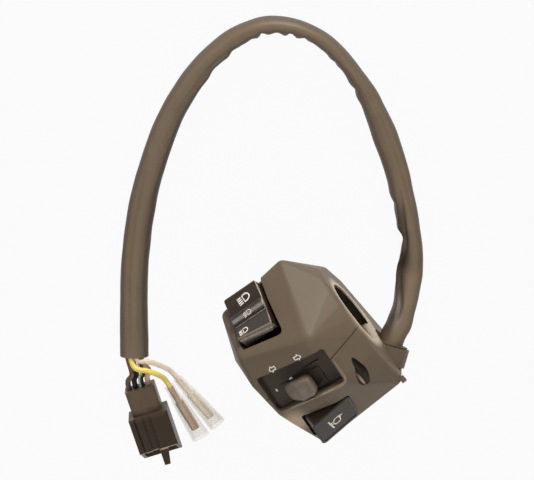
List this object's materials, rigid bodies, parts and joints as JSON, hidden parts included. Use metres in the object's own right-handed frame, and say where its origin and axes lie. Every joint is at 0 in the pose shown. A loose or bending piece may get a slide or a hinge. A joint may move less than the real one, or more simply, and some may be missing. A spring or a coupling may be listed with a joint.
{
  "type": "handlebar switch cluster",
  "caption": "Left-hand two-piece handlebar switch cluster with a headlamp rocker, sliding indicator knob, horn button and a sleeved harness with connector.",
  "frame": {"origin": "centre of the handlebar bore, midway along the clamp", "axes": "+X along the handlebar towards the middle of the bike, +Y across the casing split towards the headlamp rocker, +Z out of the switch face"},
  "size_m": [0.1407, 0.1214, 0.045],
  "materials": {
    "casing_plastic": "matte moulded, fine grain",
    "button_plastic": "satin",
    "knob_plastic": "textured grip",
    "switch_plastic": "matte",
    "phenolic": "matte board",
    "acetal": "smooth",
    "contact_brass": "stamped",
    "fastener_steel": "zinc plated",
    "spring_steel": "drawn",
    "grommet_rubber": "matte",
    "sleeve_vinyl": "satin soft vinyl",
    "lead_vinyl": "satin",
    "yellow_vinyl": "satin",
    "white_plastic": "satin",
    "brown_vinyl": "satin",
    "black_vinyl": "satin",
    "green_vinyl": "satin with a pale stripe",
    "pink_vinyl": "satin",
    "connector_nylon": "moulded",
    "clear_vinyl": "translucent soft vinyl"
  },
  "bodies": {
    "casing": {"upper_casing": "casing_plastic", "lower_casing": "casing_plastic", "casing_screws": "fastener_steel", "headlamp_base": "switch_plastic", "headlamp_contacts": "contact_brass", "rocker_pins": "fastener_steel", "indicator_guide": "switch_plastic", "indicator_base": "phenolic", "indicator_contacts": "contact_brass", "horn_base": "switch_plastic", "horn_contacts": "contact_brass", "horn_spring": "spring_steel", "headlamp_lead": "lead_vinyl", "indicator_lead": "lead_vinyl", "horn_lead": "lead_vinyl", "outlet_grommet": "grommet_rubber", "harness_sleeve": "sleeve_vinyl", "yellow_wire": "yellow_vinyl", "white_wire": "white_plastic", "brown_wire": "brown_vinyl", "black_wire": "black_vinyl", "green_wire": "green_vinyl", "pink_wire": "pink_vinyl", "connector_housing": "connector_nylon", "connector_pins": "contact_brass", "clear_sleeve_a": "clear_vinyl", "clear_sleeve_b": "clear_vinyl", "terminal_a": "contact_brass", "terminal_b": "contact_brass"},
    "rocker": {"rocker_cap": "button_plastic", "rocker_contact": "contact_brass", "rocker_plunger": "acetal", "rocker_spring": "spring_steel"},
    "indicator_slider": {"indicator_carriage": "acetal", "indicator_wiper": "contact_brass", "indicator_shutter": "switch_plastic", "knob_spring": "spring_steel"},
    "indicator_button": {"indicator_knob": "knob_plastic"},
    "horn": {"horn_button": "button_plastic", "horn_disc": "contact_brass"}
  },
  "joints": [
    {"name": "headlamp_rocker", "type": "hinge", "parent": "casing", "child": "rocker", "pos_m": [-0.00386, 0.01912, 0.0032], "axis": [0.9839, -0.0254, 0.1767], "range_deg": [-8, 8]},
    {"name": "indicator_slide", "type": "slide", "parent": "casing", "child": "indicator_slider", "axis": [0.9676, -0.1325, 0.2147], "range_m": [-0.0042, 0.0042]},
    {"name": "indicator_cancel", "type": "slide", "parent": "indicator_slider", "child": "indicator_button", "axis": [0.2127, -0.0291, -0.9767], "range_m": [0, 0.0014], "stiffness_N_per_m": 500, "springref_m": -0.002, "deforming": ["knob_spring"]},
    {"name": "horn_press", "type": "slide", "parent": "casing", "child": "horn", "axis": [-0.1805, 0.619, -0.7644], "range_m": [0, 0.0016], "stiffness_N_per_m": 800, "springref_m": -0.003, "deforming": ["horn_spring"]}
  ]
}
